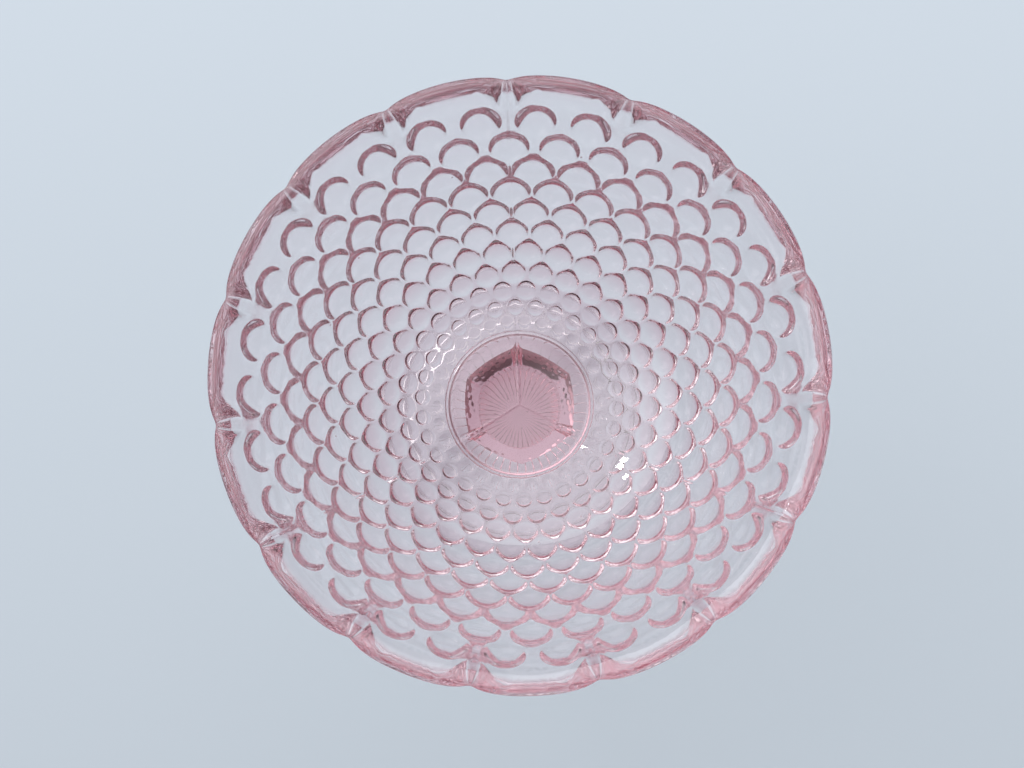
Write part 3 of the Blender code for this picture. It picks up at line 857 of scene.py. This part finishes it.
def fire_polish_group():
    """Slow ripples, a faint unevenness of gloss and of tint, as flame-polished pressed glass has."""
    group, given, made = new_group(
        "fire_polish",
        [
            ("Stretch", "Vector", (1.0, 1.0, 1.0)),
            ("Ripple Scale", "Float", BOWL_RIPPLES[1]),
            ("Gloss", "Float", 0.0),
        ],
        [("Height", "Float"), ("Roughness", "Float"), ("Tint", "Color")],
    )
    place = new_node(group, "TexCoord").outputs["Object"]
    stretched = new_node(group, "VectorMath", operation="MULTIPLY")
    feed(group, stretched.inputs[0], place)
    feed(group, stretched.inputs[1], given.outputs["Stretch"])
    ripple = noise(group, stretched.outputs["Vector"], given.outputs["Ripple Scale"], RIPPLE_DETAIL)
    haze = noise(group, place, HAZE_SCALE, HAZE_DETAIL)
    cords = noise(group, stretched.outputs["Vector"], CORD_SCALE, CORD_DETAIL)
    dull = maths(group, "ADD", given.outputs["Gloss"], HAZE_ROUGHNESS)
    tint = mix_colours(group, cords, CLEAR, CORD_TINT)
    feed(group, made.inputs["Height"], ripple)
    feed(group, made.inputs["Roughness"], spread(group, haze, given.outputs["Gloss"], dull))
    feed(group, made.inputs["Tint"], tint)
    return group


def mould_seam_group():
    """Adds a fine raised line at each of the mould's seams to a height."""
    group, given, made = new_group(
        "mould_seams",
        [
            ("Height", "Float", 0.0),
            ("Line Height", "Float", SEAM_LINE_HEIGHT),
            ("Line Width", "Float", SEAM_LINE_WIDTH),
        ],
        [("Height", "Float")],
    )
    split = new_node(group, "SeparateXYZ")
    feed(group, split.inputs[0], new_node(group, "TexCoord").outputs["Object"])
    side = 2 * math.pi / SEAMS
    turn = maths(group, "ARCTAN2", split.outputs["Y"], split.outputs["X"])
    turn = maths(group, "SUBTRACT", turn, SEAM_ANGLE - side / 2)
    turn = maths(group, "FLOORED_MODULO", turn, side)
    away = maths(group, "ABSOLUTE", maths(group, "SUBTRACT", turn, side / 2))
    radius = maths(group, "SQRT", maths(
        group, "ADD",
        maths(group, "MULTIPLY", split.outputs["X"], split.outputs["X"]),
        maths(group, "MULTIPLY", split.outputs["Y"], split.outputs["Y"]),
    ))
    near = maths(group, "DIVIDE", maths(group, "MULTIPLY", away, radius), given.outputs["Line Width"])
    ridge = maths(group, "MAXIMUM", maths(group, "SUBTRACT", 1.0, near), 0.0)
    ridge = maths(group, "MULTIPLY", ridge, given.outputs["Line Height"])
    feed(group, made.inputs["Height"], maths(group, "ADD", ridge, given.outputs["Height"]))
    return group


def scuffed_rest_group():
    """Dulls the lowest part of the foot, which has been slid over tables."""
    group, given, made = new_group(
        "scuffed_rest",
        [
            ("Roughness", "Float", 0.0),
            ("Scuff Height", "Float", SCUFF_HEIGHT),
            ("Scuff", "Float", SCUFF_ROUGHNESS[1]),
        ],
        [("Roughness", "Float")],
    )
    place = new_node(group, "TexCoord").outputs["Object"]
    split = new_node(group, "SeparateXYZ")
    feed(group, split.inputs[0], place)
    low = maths(group, "LESS_THAN", split.outputs["Z"], given.outputs["Scuff Height"])
    marks = noise(group, place, SCUFF_SCALE, SCUFF_DETAIL)
    marks = spread(group, marks, SCUFF_ROUGHNESS[0], given.outputs["Scuff"])
    scuff = maths(group, "MULTIPLY", low, marks)
    feed(group, made.inputs["Roughness"], maths(group, "MAXIMUM", scuff, given.outputs["Roughness"]))
    return group


FIRE_POLISH = fire_polish_group()
MOULD_SEAMS = mould_seam_group()
SCUFFED_REST = scuffed_rest_group()


def use_group(tree, group, **values):
    node = new_node(tree, "Group", node_tree=group)
    for name, value in values.items():
        feed(tree, node.inputs[name.replace("_", " ")], value)
    return node


def pink_glass(name, density, ripples, has_seams=False, has_rest=False):
    """Clear pink glass, coloured by its depth."""
    stretch, ripple_scale = ripples
    material = bpy.data.materials.new(name)
    material.use_nodes = True
    tree = material.node_tree
    shader = tree.nodes["Principled BSDF"]
    shader.inputs["Metallic"].default_value = 0.0
    shader.inputs["IOR"].default_value = GLASS_INDEX
    shader.inputs["Transmission Weight"].default_value = 1.0
    polish = use_group(tree, FIRE_POLISH, Stretch=stretch, Ripple_Scale=ripple_scale)
    height = polish.outputs["Height"]
    roughness = polish.outputs["Roughness"]
    if has_seams:
        height = use_group(tree, MOULD_SEAMS, Height=height).outputs["Height"]
    if has_rest:
        roughness = use_group(tree, SCUFFED_REST, Roughness=roughness).outputs["Roughness"]
    bump = new_node(tree, "Bump")
    bump.inputs["Distance"].default_value = RIPPLE_HEIGHT
    feed(tree, bump.inputs["Height"], height)
    feed(tree, shader.inputs["Normal"], bump.outputs["Normal"])
    feed(tree, shader.inputs["Roughness"], roughness)
    feed(tree, shader.inputs["Base Color"], polish.outputs["Tint"])
    tint = new_node(tree, "VolumeAbsorption")
    tint.inputs["Color"].default_value = TINT_COLOUR
    tint.inputs["Density"].default_value = density
    feed(tree, tree.nodes["Material Output"].inputs["Volume"], tint.outputs["Volume"])
    return material


def dress(piece, node, material):
    """Gives a piece its glass and sets it in the place of the part's solid."""
    piece.data.materials.append(material)
    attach(piece, "root")
    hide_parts(node)


def painted_light_pool(tree, place, path):
    """1 in the painted pool of light round the dish and for the camera, 0 far out, where the ground is
    painted dark.
    """
    away = new_node(tree, "VectorMath", operation="DISTANCE")
    feed(tree, away.inputs[0], place)
    away.inputs[1].default_value = (0.0, PAINTED_POOL_BACK, 0.0)
    painted_pool = fall_off(tree, away.outputs["Value"], PAINTED_POOL_EDGE, 1.0, 0.0)
    return maths(tree, "MAXIMUM", painted_pool, path.outputs["Is Camera Ray"])


def painted_light_slant(tree, place):
    """Painted light: the ground's brightness, which is painted to rise towards the back."""
    split = new_node(tree, "SeparateXYZ")
    feed(tree, split.inputs[0], place)
    back = maths(tree, "MINIMUM", split.outputs["Y"], PAINTED_LIGHT_SLANT_REACH)
    back = maths(tree, "MAXIMUM", back, -PAINTED_LIGHT_SLANT_REACH)
    return maths(tree, "MULTIPLY_ADD", back, PAINTED_LIGHT_SLANT, 1.0)


def painted_light_and_shadow_rings(tree, place):
    """The ground's own pale colour, with painted pink light and painted shadow laid over it in rings under
    the pink glass.
    """
    away = new_node(tree, "VectorMath", operation="LENGTH")
    feed(tree, away.inputs[0], place)
    reach = maths(tree, "DIVIDE", away.outputs["Value"], PAINTED_RINGS_REACH)
    steps = [(distance / PAINTED_RINGS_REACH, colour) for distance, colour in PAINTED_LIGHT_AND_SHADOW_RINGS]
    painted_rings = new_node(tree, "VectorMath", operation="MULTIPLY")
    feed(tree, painted_rings.inputs[0], tones(tree, reach, steps))
    painted_rings.inputs[1].default_value = GROUND_GLOW
    return painted_rings.outputs["Vector"]


def pale_ground():
    """A matt ground that keeps the shadow, with a share of glow where it is seen or mirrored; its colour and
    glow carry painted light and shade.
    """
    material = bpy.data.materials.new("pale_ground")
    material.use_nodes = True
    tree = material.node_tree
    tree.nodes.remove(tree.nodes["Principled BSDF"])
    place = new_node(tree, "TexCoord").outputs["Object"]
    path = new_node(tree, "LightPath")
    # Painted pool of light round the dish; the ground is painted dark far out
    painted_pool = painted_light_pool(tree, place, path)
    # Painted light: the ground is painted brighter towards the back
    painted_slant = painted_light_slant(tree, place)
    painted_dimming = maths(tree, "MULTIPLY_ADD", painted_pool, 1.0 - PAINTED_FAR_DIMMING, PAINTED_FAR_DIMMING)
    shade = new_node(tree, "VectorMath", operation="SCALE")
    shade.inputs[0].default_value = GROUND_COLOUR
    feed(tree, shade.inputs["Scale"], maths(tree, "MULTIPLY", painted_slant, painted_dimming))
    lit = new_node(tree, "BsdfDiffuse")
    feed(tree, lit.inputs["Color"], shade.outputs["Vector"])
    glow = new_node(tree, "Emission")
    # The glow carries the painted pool of light, the painted rings of pink light and shadow, and the painted
    # slant
    feed(tree, glow.inputs["Color"], mix_colours(tree, painted_pool, PAINTED_DARK_FAR_GROUND, painted_light_and_shadow_rings(tree, place)))
    feed(tree, glow.inputs["Strength"], painted_slant)
    seen = maths(tree, "MAXIMUM", path.outputs["Is Camera Ray"], path.outputs["Is Glossy Ray"])
    seen = maths(tree, "MAXIMUM", seen, path.outputs["Is Transmission Ray"])
    blend = new_node(tree, "MixShader")
    feed(tree, blend.inputs["Fac"], maths(tree, "MULTIPLY", seen, GROUND_GLOW_SHARE))
    feed(tree, blend.inputs[1], lit.outputs["BSDF"])
    feed(tree, blend.inputs[2], glow.outputs["Emission"])
    feed(tree, tree.nodes["Material Output"].inputs["Surface"], blend.outputs["Shader"])
    return material


def make_floor():
    half = GROUND_SIZE / 2
    corners = [(-half, -half, 0), (half, -half, 0), (half, half, 0), (-half, half, 0)]
    mesh = bpy.data.meshes.new("pale_ground")
    mesh.from_pydata(corners, [], [(0, 1, 2, 3)])
    mesh.materials.append(pale_ground())
    floor = bpy.data.objects.new("pale_ground", mesh)
    floor.location.z = -GROUND_DROP
    bpy.context.scene.collection.objects.link(floor)


def make_world():
    """A dim studio with a bright window; mirrored rays also see the ceiling bright, the camera a backdrop."""
    world = bpy.data.worlds.new("studio")
    bpy.context.scene.world = world
    world.use_nodes = True
    tree = world.node_tree
    background = tree.nodes["Background"]
    towards = new_node(tree, "TexCoord").outputs["Generated"]
    split = new_node(tree, "SeparateXYZ")
    feed(tree, split.inputs[0], towards)
    facing = new_node(tree, "VectorMath", operation="DOT_PRODUCT")
    feed(tree, facing.inputs[0], towards)
    feed(tree, facing.inputs[1], WINDOW_DIRECTION)
    window = fall_off(tree, facing.outputs["Value"], WINDOW_SPREAD, 0.0, 1.0)
    studio = tones(tree, split.outputs["Z"], STUDIO_TONES)
    path = new_node(tree, "LightPath")
    mirrored = maths(tree, "SUBTRACT", path.outputs["Is Glossy Ray"], path.outputs["Is Transmission Ray"])
    mirrored = maths(tree, "MAXIMUM", mirrored, 0.0)
    sheen = maths(tree, "MULTIPLY", mirrored, CEILING_SHEEN)
    feed(tree, background.inputs["Strength"], maths(tree, "ADD", sheen, 1.0))
    below = fall_off(tree, split.outputs["Z"], CEILING_EDGE, 1.0, 0.0)
    window = maths(tree, "MULTIPLY", window, maths(tree, "MAXIMUM", below, mirrored))
    feed(tree, background.inputs["Color"], mix_colours(tree, window, studio, WINDOW_COLOUR))
    pale = new_node(tree, "Background")
    pale.inputs["Color"].default_value = BACKDROP_COLOUR
    blend = new_node(tree, "MixShader")
    feed(tree, blend.inputs["Fac"], path.outputs["Is Camera Ray"])
    feed(tree, blend.inputs[1], background.outputs["Background"])
    feed(tree, blend.inputs[2], pale.outputs["Background"])
    feed(tree, tree.nodes["World Output"].inputs["Surface"], blend.outputs["Shader"])


def make_softbox(name, place, size, power):
    """A small lamp turned towards the dish."""
    lamp = bpy.data.lights.new(name, "AREA")
    lamp.shape = "RECTANGLE"
    lamp.size, lamp.size_y = size
    lamp.energy = power
    box = bpy.data.objects.new(name, lamp)
    box.location = place
    aim = Vector((0, 0, HEIGHT / 2)) - Vector(place)
    box.rotation_euler = aim.to_track_quat("-Z", "Y").to_euler()
    bpy.context.scene.collection.objects.link(box)


def make_camera():
    """The camera looks down almost along the axis, from a little towards the front."""
    scale = RIM_RADIUS / RIM_RADIUS_PX
    lens = bpy.data.cameras.new("photo_camera")
    lens.sensor_width = SENSOR_WIDTH
    lens.lens = SENSOR_WIDTH * CAMERA_DISTANCE / (PHOTO_WIDTH * scale)
    camera = bpy.data.objects.new("photo_camera", lens)
    turn = Matrix.Rotation(CAMERA_TURN, 3, "Z")
    back = turn @ Vector((0, -math.sin(CAMERA_TILT), math.cos(CAMERA_TILT)))
    up = turn @ Vector((0, math.cos(CAMERA_TILT), math.sin(CAMERA_TILT)))
    right = up.cross(back)
    aim = Vector((0, 0, HEIGHT))
    aim -= right * (RIM_CENTRE_PX[0] - PHOTO_WIDTH / 2) * scale
    aim += up * (RIM_CENTRE_PX[1] - PHOTO_HEIGHT / 2) * scale
    rotation = Matrix((right, up, back)).transposed()
    camera.matrix_world = Matrix.Translation(aim + back * CAMERA_DISTANCE) @ rotation.to_4x4()
    bpy.context.scene.collection.objects.link(camera)
    bpy.context.scene.camera = camera


make_camera()
make_floor()
make_world()
for count, place in enumerate(SOFTBOXES):
    make_softbox(f"softbox_{count}", place, SOFTBOX_SIZE, SOFTBOX_POWER)
dress(make_bowl(), "bowl", pink_glass("bowl_pink_glass", BOWL_TINT, BOWL_RIPPLES, has_seams=True))
dress(make_wafer(), "wafer", pink_glass("wafer_pink_glass", WAFER_TINT, WAFER_RIPPLES))
dress(make_stem(), "stem", pink_glass("stem_pink_glass", STEM_TINT, STEM_RIPPLES))
dress(make_foot(), "foot", pink_glass("foot_pink_glass", FOOT_TINT, FOOT_RIPPLES, has_rest=True))

scene = bpy.context.scene
scene.view_settings.view_transform = "Standard"
scene.cycles.max_bounces = LIGHT_BOUNCES
scene.cycles.transmission_bounces = LIGHT_BOUNCES
scene.cycles.glossy_bounces = GLOSSY_BOUNCES
